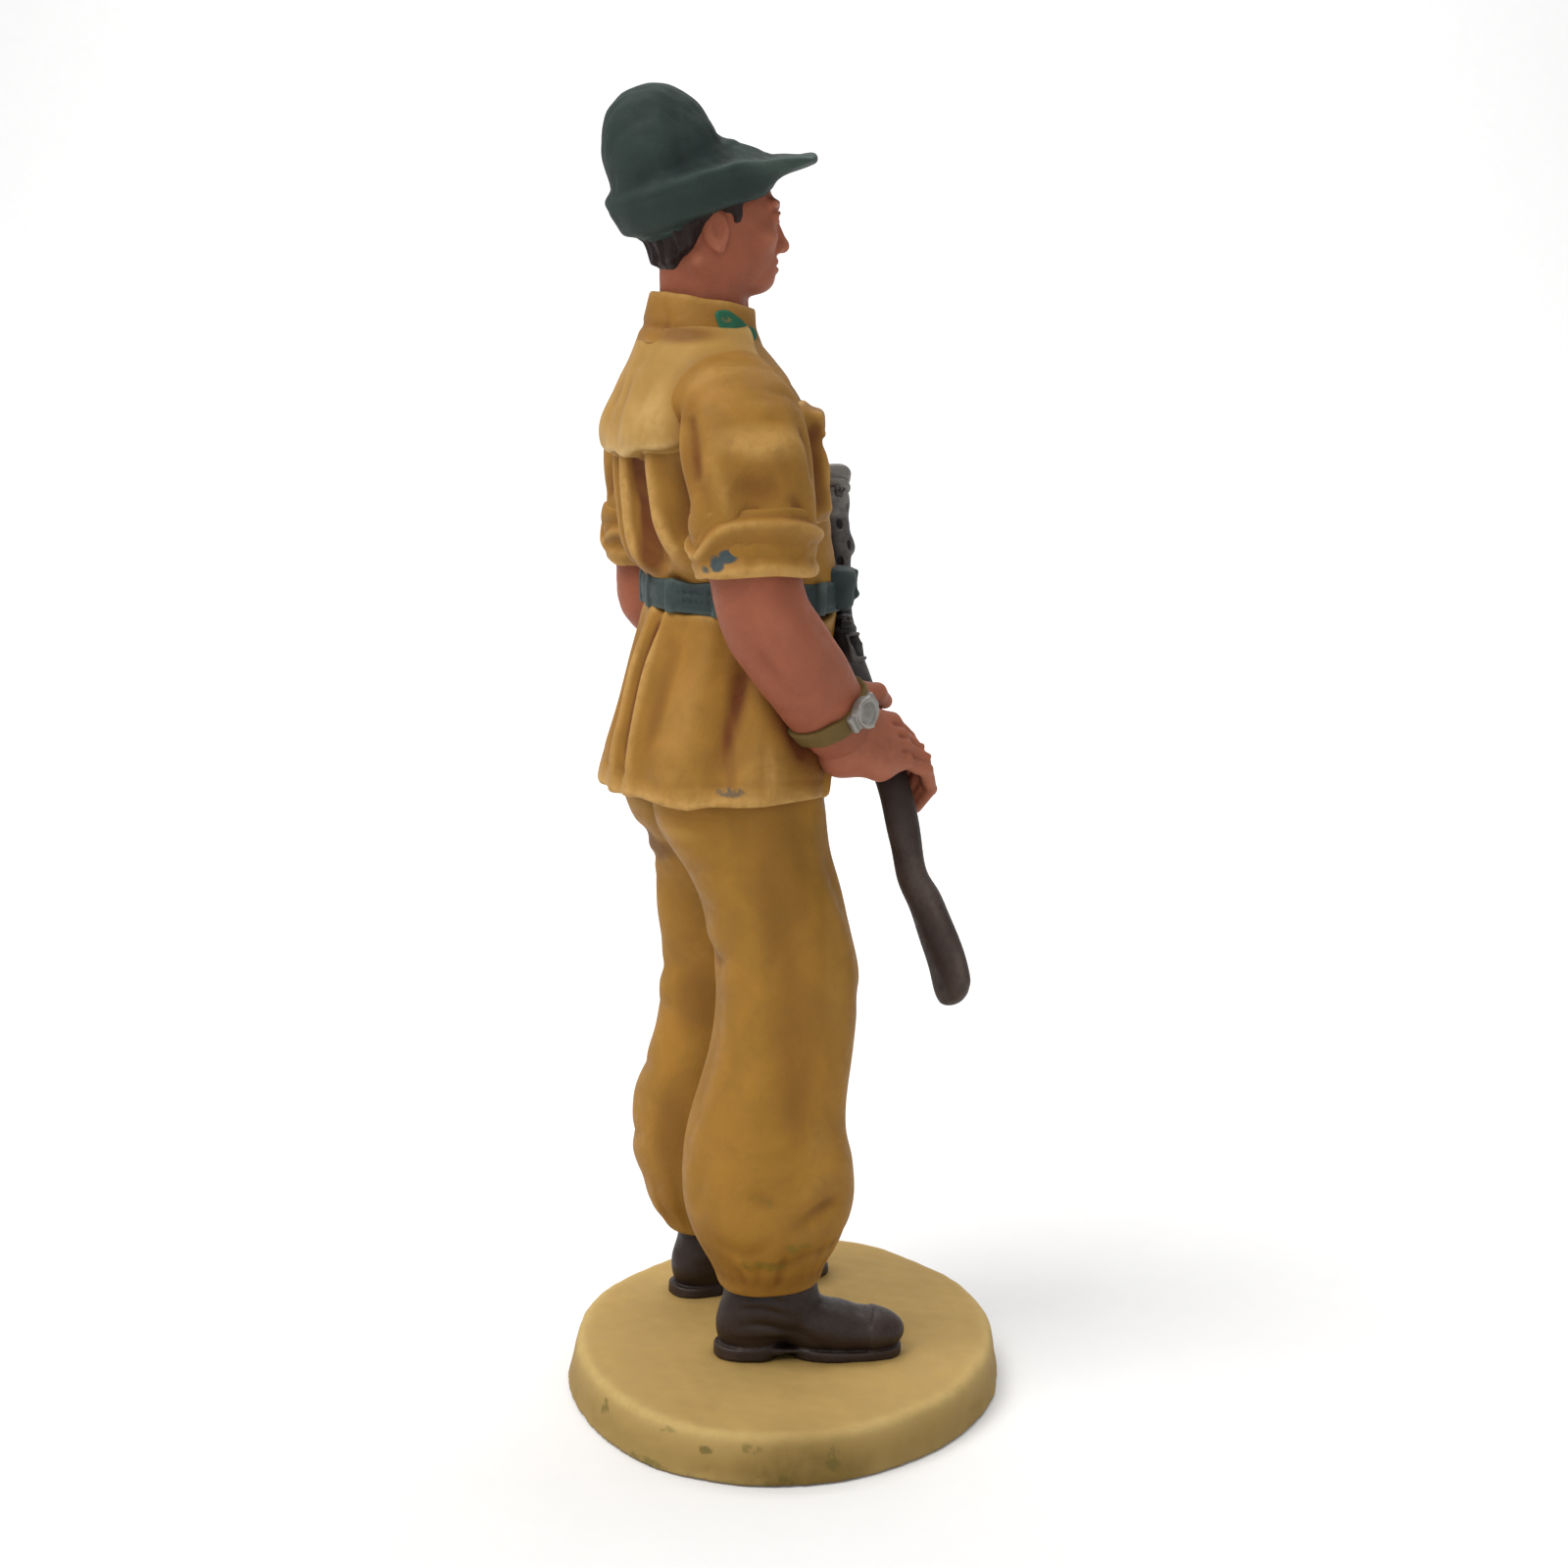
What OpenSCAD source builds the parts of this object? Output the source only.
// Painted miniature soldier in tropical dress, standing on an oval base.
// Millimetres, +Z up.  The origin is the centre of the base's underside.
// The figure faces -Y, so its own right hand is on the -X side.

/* [Base] */
// Longest width of the oval base
base_length = 27.1; // [24:0.1:32]
// Shortest width of the oval base
base_width = 21.5; // [19:0.1:23]
// Thickness of the base
base_height = 2.3; // [2:0.1:4]
// Direction of the base's long axis, in degrees from +X
base_turn = -27.4; // [-45:0.1:45]
// How much each side leans in from bottom to top
base_draft = 0.4; // [0:0.05:0.8]
// Radius of the soft upper edge
base_edge = 0.6; // [0.2:0.1:1.0]

/* [Figure] */
// Height of the man from sole to crown, without his hat
stature = 58.6; // [52:0.1:66]
// Sideways offset of the figure from the middle of the base
figure_offset = 1.6; // [0:0.1:2]
// How far each foot turns out, in degrees
toe_out = 13; // [5:1:20]
// How far the hat tips back, in degrees
hat_tilt = 20; // [12:1:24]

/* [Weapon] */
// Diameter of the receiver tube
receiver_d = 1.45; // [1.2:0.05:1.7]
// Diameter of the perforated barrel jacket
jacket_d = 1.25; // [1.0:0.05:1.4]
// Diameter of the barrel and muzzle
barrel_d = 0.8; // [0.6:0.05:0.9]
// Length of the box magazine below the receiver
magazine_length = 4.2; // [3:0.1:6]

/* [Assembly pins] */
// Diameter of the pin under each foot
foot_pin_d = 1.6; // [1.2:0.1:1.8]
// Diameter of the pin between boot and trouser leg
ankle_pin_d = 1.8; // [1.4:0.1:2.0]
// Diameter of the pin at each shoulder
shoulder_pin_d = 2.0; // [1.6:0.1:2.4]
// Diameter of the pin through each sleeve cuff
elbow_pin_d = 1.8; // [1.4:0.1:2.2]
// Diameter of the pin through the belt
waist_pin_d = 4.0; // [3:0.1:5]
// Diameter of the pin below the neck
neck_pin_d = 2.0; // [1.6:0.1:2.4]
// Gap round every pin in its hole
pin_gap = 0.06; // [0.02:0.01:0.12]

/* [Hidden] */

khaki = "#a5783c";
khaki_light = "#ae8850";
webbing = "#38474a";
flesh = "#96604a";
boot_brown = "#2c2220";
felt = "#3a4542";
hair_brown = "#33272a";
patch_green = "#2f6a50";
silver = "#9a968e";
strap_olive = "#6a5a34";
gun_black = "#3c3632";
gun_grey = "#7c766b";
gun_wood = "#483430";
sand = "#ad9058";

// The figure is drawn for this stature and scaled to the one asked for
drawn_stature = 58.6;
round_fn = 64;
ring_sides = 24;
cut = 0.02;

// ---------------------------------------------------------------- lofts

// Exponent of a plain ellipse, for rings that don't give their own
ellipse_power = 2;

// One level ring: [z, centre x, centre y, half width, half depth, power, lean]
// lean is the slope of the ring along y
function optional(s, i, fallback) = len(s) > i ? s[i] : fallback;
function super(c, power) = sign(c) * pow(abs(c), 2 / power);
function ring(s, n) =
    let (power = optional(s, 5, ellipse_power), lean = optional(s, 6, 0))
    [for (i = [0 : n - 1])
        let (a = 360 * i / n, x = s[3] * super(cos(a), power), y = s[4] * super(sin(a), power))
        [s[1] + x, s[2] + y, s[0] + lean * y]];

// Smooth curve through a list of equal-length vectors, with `steps` stations a span
function blend4(a, b, c, d, t) =
    0.5 * (2 * b + (c - a) * t + (2 * a - 5 * b + 4 * c - d) * t * t
        + (3 * b - a - 3 * c + d) * t * t * t);
function smooth(list, steps) =
    let (last = len(list) - 1)
    [for (i = [0 : last - 1]) for (k = [0 : steps - 1])
        blend4(list[max(i - 1, 0)], list[i], list[i + 1], list[min(i + 2, last)], k / steps),
     list[last]];

// Closed solid through a list of rings that all have n points
module skin(rings) {
    n = len(rings[0]);
    last = len(rings) - 1;
    sides = [for (j = [0 : last - 1]) for (i = [0 : n - 1])
        let (a = j * n + i, b = j * n + (i + 1) % n, c = a + n, d = b + n)
        each [[a, d, b], [a, c, d]]];
    bottom = [[for (i = [0 : n - 1]) i]];
    top = [[for (i = [n - 1 : -1 : 0]) last * n + i]];
    polyhedron(points = [for (r = rings) each r], faces = concat(sides, bottom, top));
}

// Solid through level rings, smoothed between them
module loft(sections, steps = 2, n = ring_sides) {
    skin([for (s = smooth(sections, steps)) ring(s, n)]);
}

function unit(v) = v / norm(v);

// One ring across a path: station = [x, y, z, half width, half depth]
function across(station, ahead, side, n) =
    let (u = unit(side - ahead * (side * ahead)), v = cross(ahead, u))
    [for (i = [0 : n - 1])
        let (a = 360 * i / n)
        [station[0], station[1], station[2]] + u * station[3] * cos(a) + v * station[4] * sin(a)];

// Solid round a curved path; `side` is the direction of each half width
module limb(stations, side, steps = 2, n = ring_sides) {
    path = smooth(stations, steps);
    last = len(path) - 1;
    function spot(i) = [path[i][0], path[i][1], path[i][2]];
    skin([for (i = [0 : last])
        across(path[i], unit(spot(min(i + 1, last)) - spot(max(i - 1, 0))), side, n)]);
}

// ---------------------------------------------------------------- placing

// Puts the figure's own frame on the base
module on_base() {
    translate([figure_offset, 0, base_height])
        scale(stature / drawn_stature)
            children();
}

// Swaps the figure's right for its left
module sided(left) {
    if (left) mirror([1, 0, 0]) children();
    else children();
}

// Stands a shape drawn along +Z on the line from one point to another
module along(from, to) {
    d = to - from;
    translate(from)
        rotate([0, acos(d[2] / norm(d)), atan2(d[1], d[0])])
            children();
}

module pin(from, to, d) {
    along(from, to) cylinder(h = norm(to - from), d = d, $fn = round_fn);
}

// ---------------------------------------------------------------- base

end_radius = base_width / 2 - 2.27;
end_centre = base_length / 2 - end_radius;
side_radius = (pow(end_centre, 2) + pow(base_width / 2, 2) - pow(end_radius, 2))
    / (base_width - 2 * end_radius);
side_centre = side_radius - base_width / 2;

// Half of the base's section, out to radius r at the bottom
module base_profile(r) {
    inner = r - base_draft - base_edge;
    polygon(concat(
        [[0, 0], [r, 0]],
        [for (a = [0 : 18 : 90])
            [inner + base_edge * cos(a), base_height - base_edge * (1 - sin(a))]],
        [[0, base_height]]));
}

module base_disc(r) {
    rotate_extrude($fn = 96) base_profile(r);
}

// Four arcs that meet smoothly: two round ends and two flatter sides
module oval_slab() {
    reach = 4;
    for (s = [-1, 1]) {
        translate([s * end_centre, 0, 0]) base_disc(end_radius);
        intersection() {
            translate([0, -s * side_centre, 0]) base_disc(side_radius);
            linear_extrude(height = base_height)
                polygon([[0, -s * side_centre],
                    [reach * end_centre, s * (reach - 1) * side_centre],
                    [-reach * end_centre, s * (reach - 1) * side_centre]]);
        }
    }
}

// ---------------------------------------------------------------- legs

ankle = [-4.35, 2.2];
boot_top = 3.7;
foot_pin_depth = 1.5;
ankle_pin_depth = 2;

module base() {
    color(sand)
    difference() {
        rotate([0, 0, base_turn]) oval_slab();
        on_base()
            for (s = [-1, 1])
                translate([s * ankle[0], ankle[1], -foot_pin_depth - 0.1])
                    cylinder(h = foot_pin_depth + 1, d = foot_pin_d + 2 * pin_gap, $fn = round_fn);
    }
}

// Rings of a right boot that points straight ahead, heel at +Y
boot_rings = [
    [0.00, 0, -0.10, 1.55, 4.70, 2.6],
    [0.55, 0, -0.10, 1.62, 4.75, 2.6],
    [0.70, 0, -0.10, 1.50, 4.60, 2.5],
    [1.70, 0, 0.00, 1.50, 4.45, 2.4],
    [2.25, 0, 0.25, 1.45, 4.10, 2.3],
    [2.65, 0, 0.95, 1.45, 3.40, 2.1],
    [3.00, 0, 1.80, 1.55, 2.55, 2.0],
    [boot_top, 0, 2.20, 1.65, 2.15, 2.0]
];

module boot(left) {
    sided(left) {
        translate([ankle[0], ankle[1], 0])
            rotate([0, 0, -toe_out])
                translate([0, -ankle[1], 0])
                    loft(boot_rings);
        pin([ankle[0], ankle[1], -foot_pin_depth], [ankle[0], ankle[1], cut], foot_pin_d);
        pin([ankle[0], ankle[1], boot_top - cut], [ankle[0], ankle[1], boot_top + ankle_pin_depth],
            ankle_pin_d);
    }
}

module right_boot() {
    color(boot_brown) on_base() boot(false);
}

module left_boot() {
    color(boot_brown) on_base() boot(true);
}

// Rings of the right trouser leg from the gathered ankle up to the seat
leg_top = 28.9;
leg_rings = [
    [boot_top, -4.35, 2.15, 2.05, 2.50, 2.1],
    [4.7, -4.38, 2.12, 2.55, 3.00, 2.1],
    [6.2, -4.40, 2.10, 3.15, 3.80, 2.2],
    [7.9, -4.35, 2.15, 3.45, 4.30, 2.2],
    [9.8, -4.20, 2.30, 3.40, 4.20, 2.2],
    [11.8, -4.05, 2.35, 3.20, 3.90, 2.2],
    [15.0, -3.80, 1.70, 3.00, 3.60, 2.2],
    [18.2, -3.55, 1.30, 2.95, 3.55, 2.2],
    [20.6, -3.40, 1.65, 3.00, 3.55, 2.2],
    [23.2, -3.20, 2.40, 3.05, 3.75, 2.3],
    [26.4, -3.10, 3.45, 3.05, 4.30, 2.5],
    [leg_top, -3.05, 3.70, 3.03, 4.25, 2.6]
];
hip = [-3.0, 3.6, leg_top];

module trouser_leg(left) {
    sided(left) {
        difference() {
            loft(leg_rings);
            pin([ankle[0], ankle[1], boot_top - 1],
                [ankle[0], ankle[1], boot_top + ankle_pin_depth + 0.1],
                ankle_pin_d + 2 * pin_gap);
        }
        pin(hip - [0, 0, cut], hip + [0, 0, 2.4], ankle_pin_d);
    }
}

module right_trouser_leg() {
    color(khaki) on_base() trouser_leg(false);
}

module left_trouser_leg() {
    color(khaki) on_base() trouser_leg(true);
}

// ---------------------------------------------------------------- jacket

belt_bottom = 36.45;
belt_top = 37.85;
waist = [0, 2.65, belt_top];

// The skirt goes up the inside of the hem first, then down to the hem and up the outside
skirt_inside = [
    [leg_top, 0, 3.75, 6.15, 4.45, 2.5],
    [27.5, 0, 3.80, 6.45, 4.90, 2.5]
];
skirt_outside = [
    [27.5, 0, 3.97, 6.90, 5.40, 2.4],
    [30.0, 0, 3.60, 6.50, 5.20, 2.4],
    [33.0, 0, 3.15, 5.90, 4.95, 2.4],
    [35.2, 0, 2.80, 5.35, 4.70, 2.4],
    [belt_bottom, 0, 2.65, 5.10, 4.55, 2.4]
];

module jacket_skirt() {
    color(khaki) on_base() difference() {
        skin([for (s = concat(skirt_inside, smooth(skirt_outside, 2))) ring(s, ring_sides)]);
        for (s = [-1, 1])
            pin([s * hip[0], hip[1], leg_top - 1], [s * hip[0], hip[1], leg_top + 2.5],
                ankle_pin_d + 2 * pin_gap);
        pin(waist - [0, 0, 4], waist, waist_pin_d + 2 * pin_gap);
    }
}

// A flat pocket with a flap, drawn standing on its lower edge and facing -Y
module pocket(w, h, t) {
    flap = h * 0.34;
    translate([-w / 2, 0, 0]) cube([w, t, h]);
    translate([-w * 0.54, -0.12, h - flap]) cube([w * 1.08, t, flap]);
}

// Two large pockets low on the skirt
module skirt_pockets() {
    color(khaki) on_base()
        for (s = [-1, 1])
            translate([s * 3.55, -1.95, 29.3])
                rotate([-3, 0, s * 19])
                    pocket(3.2, 4.4, 0.6);
}

module belt() {
    color(webbing) on_base() difference() {
        skin([for (z = [belt_bottom, belt_top]) ring([z, 0, 2.7, 5.3, 4.65, 2.4], ring_sides)]);
        pin(waist - [0, 0, 3], waist + [0, 0, 1], waist_pin_d + 2 * pin_gap);
    }
}

module belt_buckle() {
    color(silver) on_base()
        translate([-0.9, -2.2, 36.4])
            difference() {
                translate([-0.8, 0, 0]) cube([1.6, 0.3, 1.5]);
                translate([-0.45, -1, 0.35]) cube([0.9, 3, 0.8]);
            }
}

// Two cartridge pouches either side of the buckle
module ammo_pouches() {
    color(webbing) on_base()
        for (s = [-1, 1])
            translate([s * 2.8, -1.55, 35.7])
                rotate([0, 0, s * 20]) {
                    translate([-1.1, -0.75, 0]) cube([2.2, 0.75, 2.2]);
                    translate([-1.18, -0.85, 1.1]) cube([2.36, 0.85, 1.15]);
                }
}

shoulder = [-5.2, 4.95, 46.0];

body_rings = [
    [belt_top, 0, 2.65, 5.00, 4.50, 2.4],
    [40.0, 0, 3.15, 5.35, 4.60, 2.4],
    [42.5, 0, 3.90, 5.55, 4.60, 2.4],
    [45.0, 0, 4.50, 5.75, 4.60, 2.4],
    [46.8, 0, 4.80, 5.55, 4.05, 2.3],
    [48.0, 0, 4.90, 4.70, 3.25, 2.2],
    [48.9, 0, 4.95, 3.50, 2.75, 2.0]
];
neck_foot = [0, 5.0, 48.9];
neck_head = [0, 4.75, 52.0];

module jacket_body() {
    color(khaki) on_base() {
        difference() {
            loft(body_rings);
            for (s = [-1, 1])
                pin([s * shoulder[0], shoulder[1], shoulder[2]] - [s * 3, 0, 0],
                    [s * shoulder[0], shoulder[1], shoulder[2]] + [s * 3, 0, 0],
                    shoulder_pin_d + 2 * pin_gap);
            pin(neck_foot - [0, 0, 2.6], neck_foot + [0, 0, 1], neck_pin_d + 2 * pin_gap);
        }
        pin(waist - [0, 0, 3.6], waist + [0, 0, cut], waist_pin_d);
    }
}

// The cape-like yoke stands proud of the shoulder blades
module back_yoke() {
    color(khaki_light) on_base()
        resize([0, 0, 0]) difference() {
            loft([
                [44.0, 0, 4.75, 5.35, 4.70, 2.4],
                [45.4, 0, 4.85, 5.50, 4.65, 2.4],
                [46.9, 0, 4.95, 5.15, 4.00, 2.3],
                [48.0, 0, 5.00, 4.45, 3.30, 2.1]
            ]);
            loft(body_rings);
            translate([-10, -6, 40]) cube([20, 10.5, 12]);
        }
}

// Two breast pockets whose pointed flaps hang from the front yoke
module chest_pockets() {
    color(khaki) on_base()
        for (s = [-1, 1])
            translate([s * 2.75, -1.05, 40.6])
                rotate([-14, 0, s * 14])
                    pocket(2.9, 4.2, 0.75);
}

collar_rings = [
    [48.3, 0, 4.80, 3.75, 3.20, 2.1, 0.16],
    [49.0, 0, 4.90, 3.20, 2.90, 2.1, 0.16],
    [50.0, 0, 4.95, 2.80, 2.60, 2.1, 0.16],
    [50.8, 0, 4.90, 2.60, 2.45, 2.1, 0.16]
];

module collar() {
    color(khaki_light) on_base() difference() {
        loft(collar_rings);
        pin(neck_foot - unit(neck_head - neck_foot), neck_head, neck_d + 2 * pin_gap);
    }
}

// Pointed green patches on the collar's front corners
module collar_patches() {
    color(patch_green) on_base()
        for (s = [-1, 1])
            translate([s * 2.45, 3.45, 49.2])
                rotate([0, 0, s * 48])
                    rotate([80, s * 24, 0])
                        linear_extrude(height = 0.35)
                            polygon([[-s * 1.1, -0.45], [s * 1.0, -0.45], [s * 0.7, 0],
                                [s * 1.0, 0.45], [-s * 1.1, 0.45]]);
}

// ---------------------------------------------------------------- arms

arm_side = [1, 0, 0];
fore_side = [1, 0, 0.3];
hand_side = [0, 0.3, 1];

// Each sleeve: shoulder to the top of its rolled cuff
right_sleeve_path = [
    [-5.55, 4.95, 47.3, 1.1, 2.1],
    [-6.3, 4.85, 46.2, 1.9, 2.75],
    [-6.9, 4.70, 44.0, 2.25, 3.0],
    [-7.3, 4.55, 42.0, 2.30, 2.95],
    [-7.5, 4.45, 40.4, 2.35, 2.90]
];
left_sleeve_path = [
    [5.55, 4.95, 47.3, 1.1, 2.1],
    [6.4, 4.90, 46.2, 1.9, 2.65],
    [7.1, 4.95, 44.0, 2.25, 2.75],
    [7.6, 5.00, 41.8, 2.30, 2.65],
    [7.9, 5.05, 39.9, 2.35, 2.55]
];
right_cuff_path = [
    [-7.5, 4.45, 40.4, 2.6, 3.15],
    [-7.6, 4.35, 39.4, 2.75, 3.3],
    [-7.7, 4.25, 38.3, 2.6, 3.15]
];
left_cuff_path = [
    [7.9, 5.05, 39.9, 2.5, 2.7],
    [8.0, 5.00, 38.8, 2.6, 2.8],
    [8.1, 4.95, 37.7, 2.5, 2.65]
];

function spot_of(path, i) = [path[i][0], path[i][1], path[i][2]];
function cuff_start(path) = spot_of(path, 0);
function cuff_end(path) = spot_of(path, 2);

module sleeve(path, cuff_path, s) {
    deep = unit(cuff_start(cuff_path) - cuff_end(cuff_path)) * 1.8;
    difference() {
        limb(path, arm_side);
        pin(cuff_start(cuff_path) - deep, cuff_start(cuff_path) + deep, elbow_pin_d + 2 * pin_gap);
    }
    pin([s * 3.4, shoulder[1], shoulder[2]], [s * 6.0, shoulder[1], shoulder[2]], shoulder_pin_d);
}

module cuff(path) {
    difference() {
        limb(path, arm_side);
        pin(cuff_end(path) * 2 - cuff_start(path), cuff_start(path) * 2 - cuff_end(path),
            elbow_pin_d + 2 * pin_gap);
    }
}

module right_sleeve() {
    color(khaki) on_base() sleeve(right_sleeve_path, right_cuff_path, -1);
}

module left_sleeve() {
    color(khaki) on_base() sleeve(left_sleeve_path, left_cuff_path, 1);
}

module right_cuff() {
    color(khaki_light) on_base() cuff(right_cuff_path);
}

module left_cuff() {
    color(khaki_light) on_base() cuff(left_cuff_path);
}

right_wrist = [-6.1, -0.35, 32.1];
left_wrist = [5.2, -0.9, 38.1];

right_forearm_path = [
    [-7.7, 4.15, 38.2, 2.1, 2.45],
    [-7.7, 3.65, 36.9, 2.2, 2.45],
    [-7.4, 2.60, 35.4, 2.05, 2.30],
    [-6.9, 1.25, 33.8, 1.80, 2.05],
    [-6.1, -0.35, 32.1, 1.55, 1.72]
];
left_forearm_path = [
    [8.1, 4.95, 37.6, 2.0, 2.0],
    [8.1, 4.60, 36.1, 2.1, 2.1],
    [7.7, 3.10, 35.5, 2.0, 2.1],
    [6.6, 0.95, 36.6, 1.7, 1.9],
    [5.2, -0.90, 38.1, 1.3, 1.6]
];

module forearm(path, cuff_path, side) {
    start = cuff_end(cuff_path);
    up = unit(cuff_start(cuff_path) - start);
    difference() {
        limb(path, side);
        pin(spot_of(path, 3), spot_of(path, 4) * 2 - spot_of(path, 3), wrist_pin_d + 2 * pin_gap);
    }
    pin(start - up * 0.8, start + up * 3.4, elbow_pin_d);
}

wrist_pin_d = 1.2;

module right_forearm() {
    color(flesh) on_base() forearm(right_forearm_path, right_cuff_path, fore_side);
}

module left_forearm() {
    color(flesh) on_base() forearm(left_forearm_path, left_cuff_path, arm_side);
}

// ---------------------------------------------------------------- weapon frame

// The weapon hangs across the body, butt low on the right and muzzle high on the left
// The soft casting is bowed a little in front of the belly, where receiver meets barrel
gun_grip = [-4.6, -3.4, 28.3];
gun_bow = [-0.4, -2.7, 35.5];
gun_muzzle = [3.9, -3.15, 42.75];
toward_sights = [-1, 0, 0.5];

// Draws with +X from one point to another and +Z towards the sights
module in_gun_frame(from, to) {
    ahead = unit(to - from);
    flat = unit(cross(toward_sights, ahead));
    up = cross(ahead, flat);
    multmatrix([
        [ahead[0], flat[0], up[0], from[0]],
        [ahead[1], flat[1], up[1], from[1]],
        [ahead[2], flat[2], up[2], from[2]],
        [0, 0, 0, 1]])
        children();
}

module rear_frame() {
    in_gun_frame(gun_grip, gun_bow) children();
}

module front_frame() {
    in_gun_frame(gun_bow, gun_muzzle) children();
}

// Stations of the rear half, from the grip forward
receiver_start = 1.7;
receiver_end = norm(gun_bow - gun_grip);
// Stations of the front half, from the bow forward
barrel_end = norm(gun_muzzle - gun_bow);
jacket_end = barrel_end - 1.4;
wood_d = 1.7;

function barrel_point(x) = gun_bow + unit(gun_muzzle - gun_bow) * x;

module bar(from, to, d) {
    translate([from, 0, 0]) rotate([0, 90, 0]) cylinder(h = to - from, d = d, $fn = round_fn);
}

// ---------------------------------------------------------------- hands

module right_hand() {
    color(flesh) on_base() difference() {
        limb([
            [-6.10, -0.35, 32.10, 1.55, 1.70],
            [-5.75, -1.20, 31.00, 1.65, 1.85],
            [-5.40, -2.45, 30.00, 1.80, 1.85],
            [-5.15, -3.75, 29.30, 1.75, 1.60],
            [-5.00, -4.60, 28.40, 1.50, 1.20],
            [-4.90, -4.80, 27.30, 1.00, 0.80]
        ], fore_side);
        rear_frame() bar(-4, 6, wood_d + 2 * pin_gap);
    }
    color(flesh) on_base() pin(right_wrist, right_wrist + [-0.55, 1.1, 1.15], wrist_pin_d);
}

module left_hand() {
    grip = barrel_point(4.4);
    color(flesh) on_base() difference() {
        limb([
            [5.20, -0.90, 38.10, 1.55, 1.30],
            [4.55, -1.60, 38.80, 1.45, 1.45],
            [grip[0] + 1.6, grip[1] + 0.50, grip[2] + 0.1, 1.60, 1.25],
            [grip[0] + 0.8, grip[1] - 0.15, grip[2] + 0.1, 1.50, 0.95],
            [grip[0] + 0.2, grip[1] - 0.45, grip[2] + 0.1, 1.10, 0.55]
        ], hand_side);
        front_frame() bar(0.2, barrel_end, jacket_d + 2 * pin_gap);
    }
    color(flesh) on_base() pin(left_wrist, left_wrist + [0.9, 1.2, -0.95], wrist_pin_d);
}

watch_at = [-6.15, -0.25, 32.15];
watch_ahead = unit([0.8, -1.6, -1.7]);
strap_wall = 0.3;
strap_d = 4.0;

module watch_strap() {
    color(strap_olive) on_base()
        along(watch_at - watch_ahead * 0.6, watch_at + watch_ahead)
            difference() {
                cylinder(h = 1.2, d = strap_d, $fn = round_fn);
                translate([0, 0, -1]) cylinder(h = 4, d = strap_d - 2 * strap_wall, $fn = round_fn);
            }
}

module watch_case() {
    out = unit(cross(watch_ahead, [0, 0, 1]));
    color(silver) on_base()
        along(watch_at + out * (strap_d / 2 + 0.02), watch_at + out * (strap_d / 2 + 1)) {
            cylinder(h = 0.45, d = 1.7, $fn = round_fn);
            cylinder(h = 0.6, d = 1.2, $fn = round_fn);
        }
}

// ---------------------------------------------------------------- head

neck_d = 4.1;
hat_slope = -tan(hat_tilt);
hat_seat = [0, 5.4, 55.2];

// Chin to the flat on which the hat is seated
head_rings = [
    [51.2, 0, 3.1, 1.10, 1.20, 2.2, 0.30],
    [51.9, 0, 3.7, 1.85, 2.05, 2.2, 0.15],
    [52.7, 0, 4.2, 2.25, 2.75, 2.2, 0.00],
    [53.4, 0, 4.55, 2.45, 3.05, 2.2, -0.05],
    [54.1, 0, 4.70, 2.55, 3.15, 2.2, -0.12],
    [54.7, 0, 4.75, 2.60, 3.20, 2.2, -0.22],
    [hat_seat[2] - hat_slope * 0.6, 0, hat_seat[1] - 0.6, 2.60, 3.20, 2.2, hat_slope]
];

module in_hat_frame() {
    translate(hat_seat) rotate([-hat_tilt, 0, 0]) children();
}

module head() {
    color(flesh) on_base() {
        resize([0, 0, 0]) union() {
            loft(head_rings);
            // Nose
            skin([
                [[-0.18, 1.75, 54.6], [0.18, 1.75, 54.6], [0, 1.35, 54.6]],
                [[-0.45, 1.95, 53.4], [0.45, 1.95, 53.4], [0, 0.85, 53.4]],
                [[-0.35, 2.05, 53.0], [0.35, 2.05, 53.0], [0, 1.35, 53.0]]
            ]);
            // Ears
            for (s = [-1, 1])
                translate([s * 2.5, 4.9, 53.7])
                    rotate([-12, 0, 0])
                        resize([0.7, 1.2, 1.9]) sphere(d = 2, $fn = 16);
        }
        pin(neck_foot, neck_head + [0, 0, 0.6], neck_d);
        pin(neck_foot - [0, 0, 2.4], neck_foot + [0, 0, cut], neck_pin_d);
    }
}

// Short hair that shows under the hat at the back and sides
module hair() {
    color(hair_brown) on_base()
        resize([0, 0, 0]) difference() {
            loft([
                [52.3, 0, 5.35, 1.90, 2.20, 2.2, 0.10],
                [53.2, 0, 5.05, 2.60, 2.85, 2.2, 0.05],
                [54.2, 0, 4.95, 2.75, 3.15, 2.2, -0.10],
                [hat_seat[2] - hat_slope * 0.6 - 0.05, 0, 4.80, 2.80, 3.35, 2.2, hat_slope]
            ]);
            loft(head_rings);
            pin(neck_foot, neck_head + [0, 0, 1], neck_d + 2 * pin_gap);
            translate([-5, -5, 50]) cube([10, 9.0, 10]);
            translate([-5, 3, 51]) cube([10, 1.9, 3.4]);
        }
}

// ---------------------------------------------------------------- hat

// Half width and half depth of the crown where it meets the brim
crown_half = [3.05, 3.45];
crown_foot = 1.5;
brim_thickness = 0.4;
// The brim's edge behind and in front: [how far out, how far up]
turned_up = [0.45, 1.35];
peak = [2.6, 0.0];

// How much of the peak a direction holds: 1 straight ahead, 0 at the sides and back
function ahead_share(a) = let (t = max(0, cos(a))) pow(t * t * (3 - 2 * t), 1.5);

// Edge of the brim at a direction: turned up behind, long and drooping in front
function brim_edge(a, lift) =
    let (f = ahead_share(a), edge = turned_up * (1 - f) + peak * f)
    [(crown_half[0] + edge[0]) * sin(a), -(crown_half[1] + edge[0]) * cos(a), edge[1] + lift];

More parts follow.
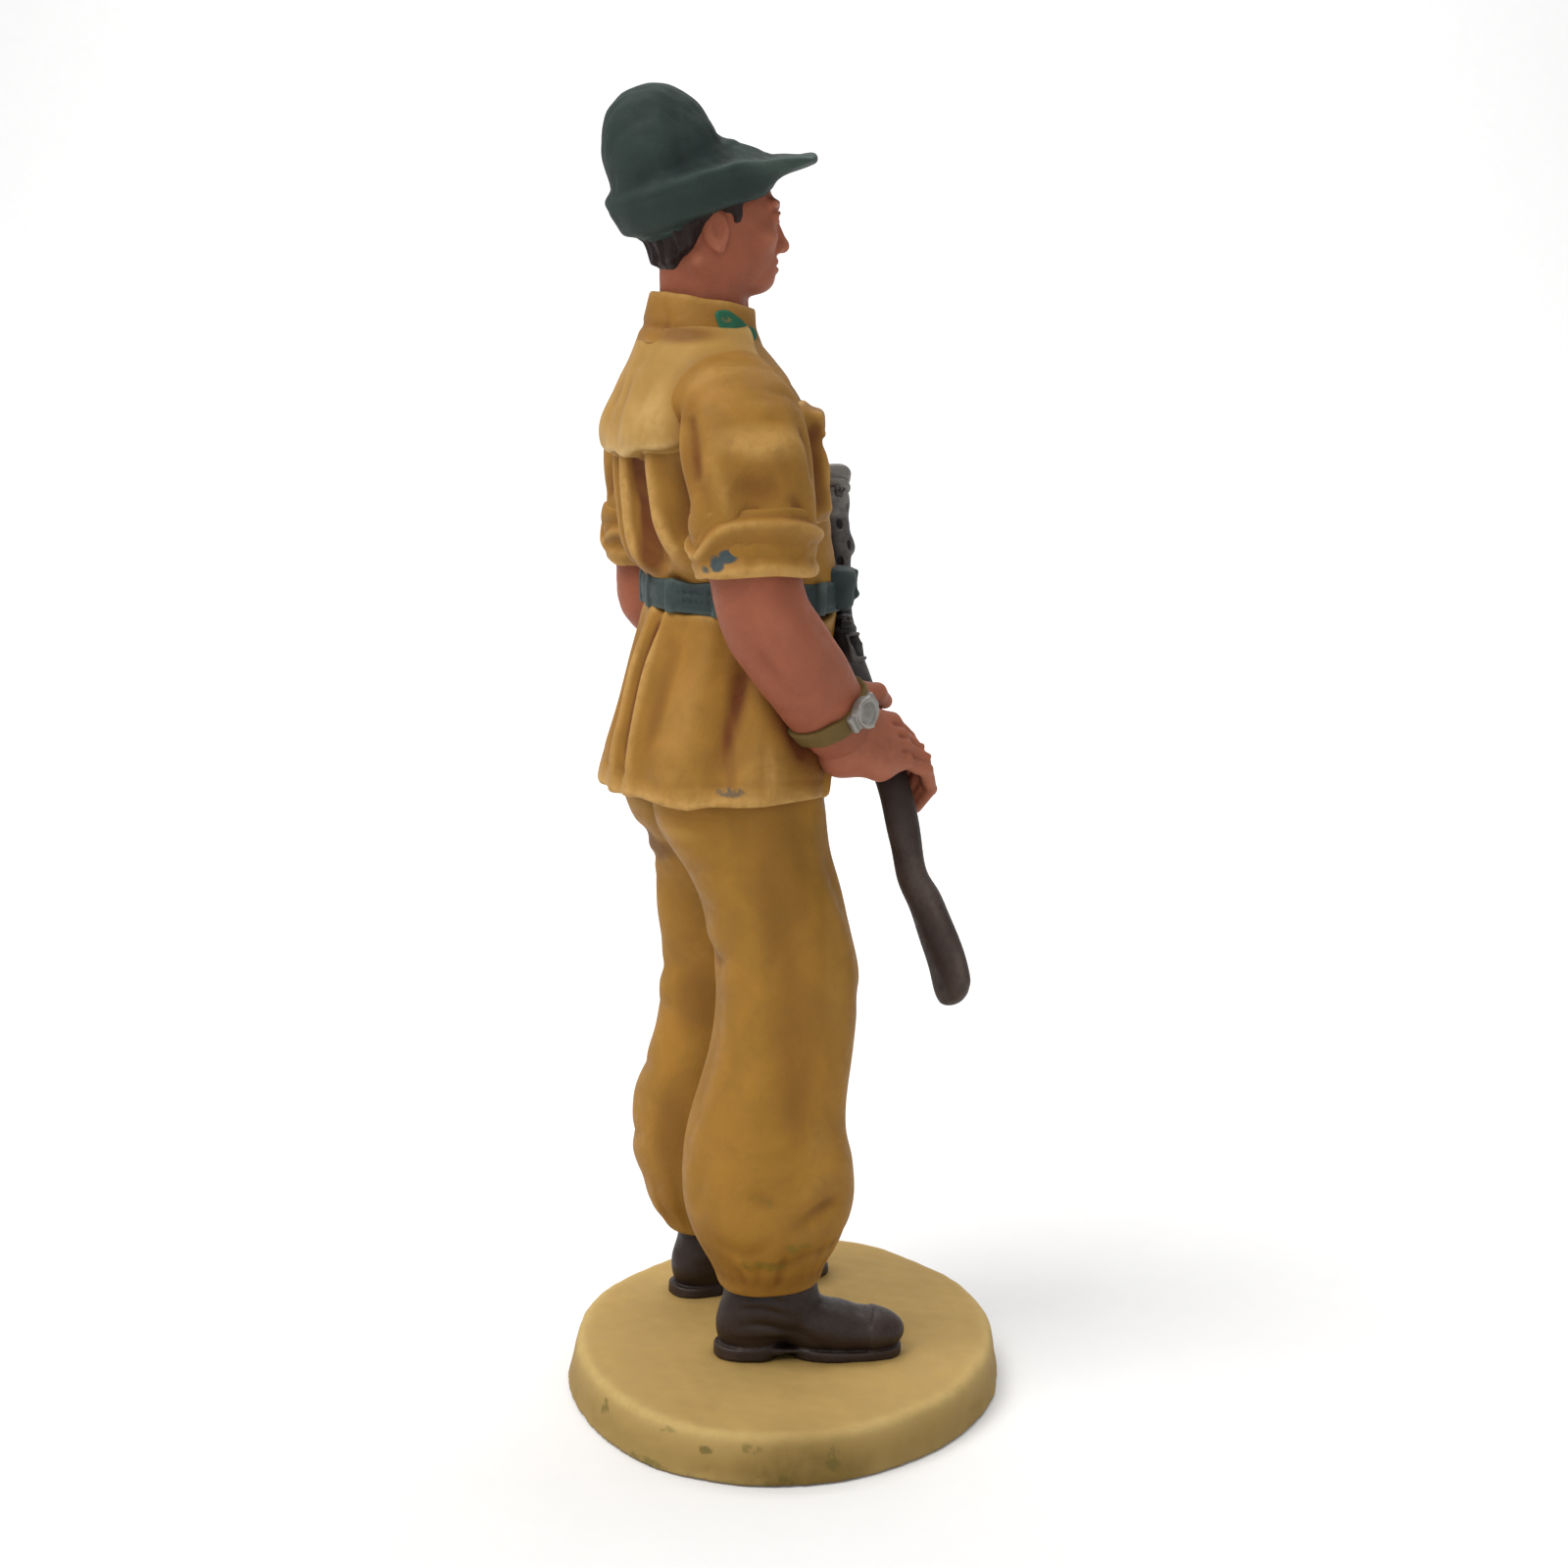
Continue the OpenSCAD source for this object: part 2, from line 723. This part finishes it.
module hat_brim() {
    n = 36;
    function turn(i) = -360 * i / n;
    function level(grow, z) = [for (i = [0 : n - 1])
        [(crown_half[0] + grow) * sin(turn(i)), -(crown_half[1] + grow) * cos(turn(i)), z]];
    function edge(lift) = [for (i = [0 : n - 1]) brim_edge(turn(i), lift)];
    color(felt) on_base() in_hat_frame()
        skin([level(-0.4, -0.25), level(-0.1, -0.3), edge(0), edge(brim_thickness),
            level(0.05, crown_foot)]);
}

module hat_crown() {
    color(felt) on_base() in_hat_frame()
        loft([
            [crown_foot, 0, 0.00, crown_half[0], crown_half[1], 2.1, -0.05],
            [2.3, 0, 0.15, 2.95, 3.25, 2.1, -0.05],
            [3.2, 0, 0.30, 2.75, 3.05, 2.1, 0],
            [4.2, 0, 0.38, 2.40, 2.65, 2.1, 0],
            [5.0, 0, 0.15, 1.75, 1.95, 2.1, 0],
            [5.4, 0, -0.10, 0.90, 1.00, 2.0, 0],
            [5.47, 0, -0.10, 0.25, 0.25, 2.0, 0]
        ], 2, 32);
}

// ---------------------------------------------------------------- weapon

module gun_stock() {
    color(gun_wood) on_base() rear_frame() resize([0, 0, 0]) difference() {
        union() {
            limb([
                [-10.45, -0.75, -1.25, 0.80, 1.70],
                [-10.10, -0.65, -1.20, 0.86, 1.85],
                [-7.60, -0.55, -0.90, 0.84, 1.60],
                [-5.00, -0.20, -0.50, 0.80, 1.20],
                [-2.60, 0.00, -0.05, 0.84, 0.88]
            ], [0, 1, 0]);
            bar(-2.7, 3.2, wood_d);
        }
        bar(receiver_start, 5, receiver_d + 2 * pin_gap);
    }
}

module gun_receiver() {
    color(gun_black) on_base() rear_frame() {
        bar(receiver_start, receiver_end, receiver_d);
        // Cocking handle on the right
        translate([5.6, 0, 0.1]) rotate([90, 0, 0]) cylinder(h = 1.2, d = 0.4, $fn = 32);
        // Raised rim of the ejection port
        translate([6.2, -0.35, 0.4]) cube([1.3, 0.7, 0.5]);
    }
}

module barrel_jacket() {
    hole_d = 0.5;
    pitch = 0.9;
    color(gun_black) on_base() front_frame() difference() {
        bar(0.1, jacket_end, jacket_d);
        bar(-1, jacket_end + 1, barrel_d + 2 * pin_gap);
        // Cooling holes from the hand to the muzzle
        for (i = [0 : 1])
            for (turn = [0, 90])
                translate([jacket_end - 0.5 - i * pitch, 0, 0])
                    rotate([turn, 0, 0])
                        cylinder(h = 4, d = hole_d, center = true, $fn = 32);
    }
}

module gun_barrel() {
    color(gun_grey) on_base() front_frame() difference() {
        union() {
            bar(0.1, barrel_end, barrel_d);
            bar(jacket_end + 0.05, barrel_end - 0.1, jacket_d + 0.15);
        }
        bar(barrel_end - 1.2, barrel_end + 1, 0.35);
    }
}

module magazine() {
    color(gun_black) on_base() rear_frame()
        translate([6.0, -0.35, -receiver_d / 2 - magazine_length])
            cube([1.1, 0.7, magazine_length - 0.05]);
}

module trigger_guard() {
    color(gun_black) on_base() rear_frame()
        translate([4.4, 0, -receiver_d / 2 - 0.75])
            rotate([90, 0, 0])
                difference() {
                    cylinder(h = 0.5, d = 1.5, center = true, $fn = round_fn);
                    cylinder(h = 2, d = 1.0, center = true, $fn = round_fn);
                }
}

// Front and rear trigger, one behind the other inside the guard
module gun_triggers() {
    color(gun_grey) on_base() rear_frame()
        for (x = [4.2, 4.6])
            translate([x, 0, -receiver_d / 2 - 0.28])
                cube([0.16, 0.2, 0.5], center = true);
}

module front_sight() {
    color(gun_black) on_base() front_frame()
        translate([jacket_end - 0.5, -0.15, jacket_d / 2 - 0.06]) {
            cube([0.5, 0.3, 0.25]);
            translate([0.15, 0.075, 0]) cube([0.2, 0.15, 0.6]);
        }
}

module rear_sight() {
    color(gun_black) on_base() rear_frame()
        translate([receiver_end - 0.6, -0.3, receiver_d / 2 - 0.1]) {
            cube([0.5, 0.6, 0.25]);
            translate([0.2, 0, 0]) cube([0.15, 0.2, 0.5]);
            translate([0.2, 0.4, 0]) cube([0.15, 0.2, 0.5]);
        }
}

base();
right_boot();
left_boot();
right_trouser_leg();
left_trouser_leg();
jacket_skirt();
skirt_pockets();
belt();
belt_buckle();
ammo_pouches();
jacket_body();
back_yoke();
chest_pockets();
collar();
collar_patches();
right_sleeve();
left_sleeve();
right_cuff();
left_cuff();
right_forearm();
left_forearm();
right_hand();
left_hand();
watch_strap();
watch_case();
head();
hair();
hat_brim();
hat_crown();
gun_stock();
gun_receiver();
barrel_jacket();
gun_barrel();
magazine();
trigger_guard();
gun_triggers();
front_sight();
rear_sight();
